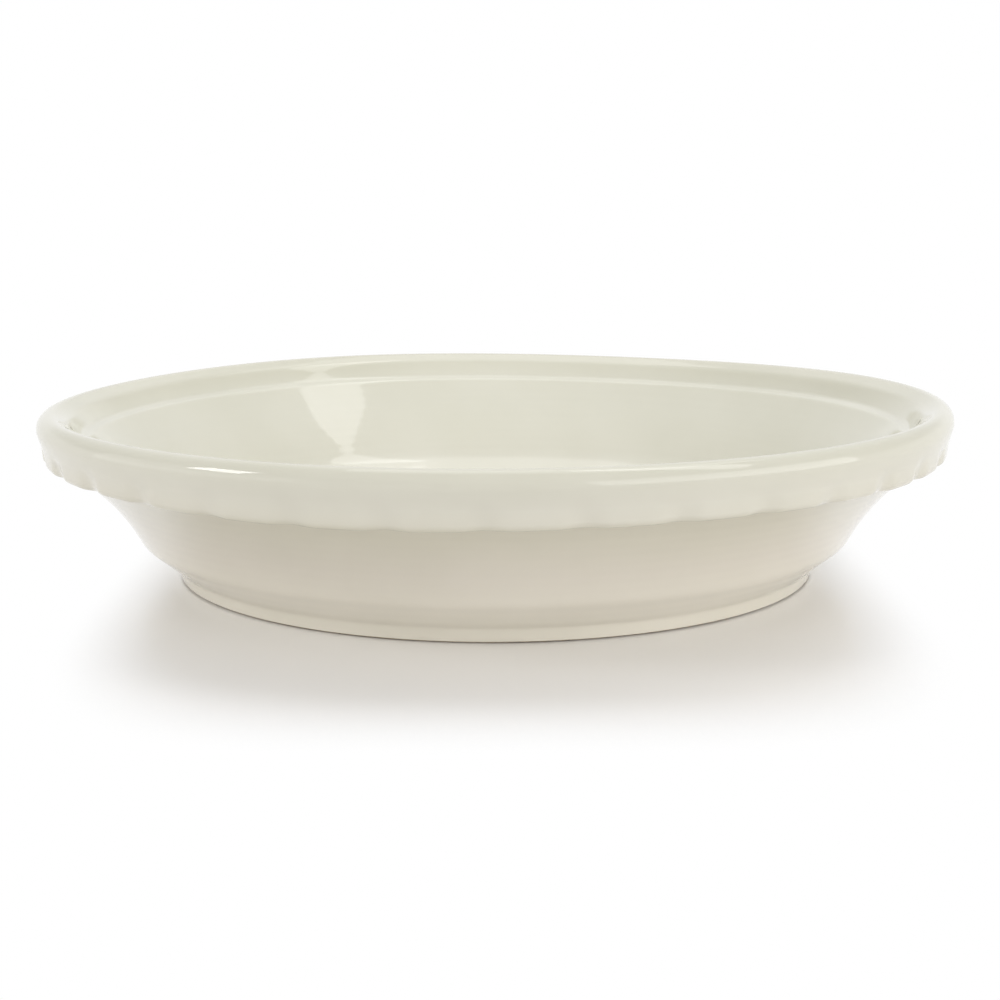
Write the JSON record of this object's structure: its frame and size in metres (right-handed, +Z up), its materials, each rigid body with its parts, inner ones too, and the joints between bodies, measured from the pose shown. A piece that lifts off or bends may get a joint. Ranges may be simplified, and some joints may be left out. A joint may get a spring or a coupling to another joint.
{
  "type": "pie dish",
  "caption": "Round glazed stoneware pie dish with a sloping wall, a foot ring and an upright fluted rim, for baking and serving pies.",
  "frame": {"origin": "centre of the foot ring's bottom, on the surface that the dish stands on", "axes": "+Z up along the dish's axis; -Y is the side that faces the viewer in the picture, +X is to its right"},
  "size_m": [0.2638, 0.2638, 0.0505],
  "materials": {
    "stoneware": "matte",
    "cream_glaze": "glossy"
  },
  "bodies": {
    "root": {"dish_body": "stoneware", "fluted_rim": "stoneware", "foot_ring": "stoneware", "inner_glaze": "cream_glaze", "outer_glaze": "cream_glaze", "base_glaze": "cream_glaze"}
  },
  "joints": []
}
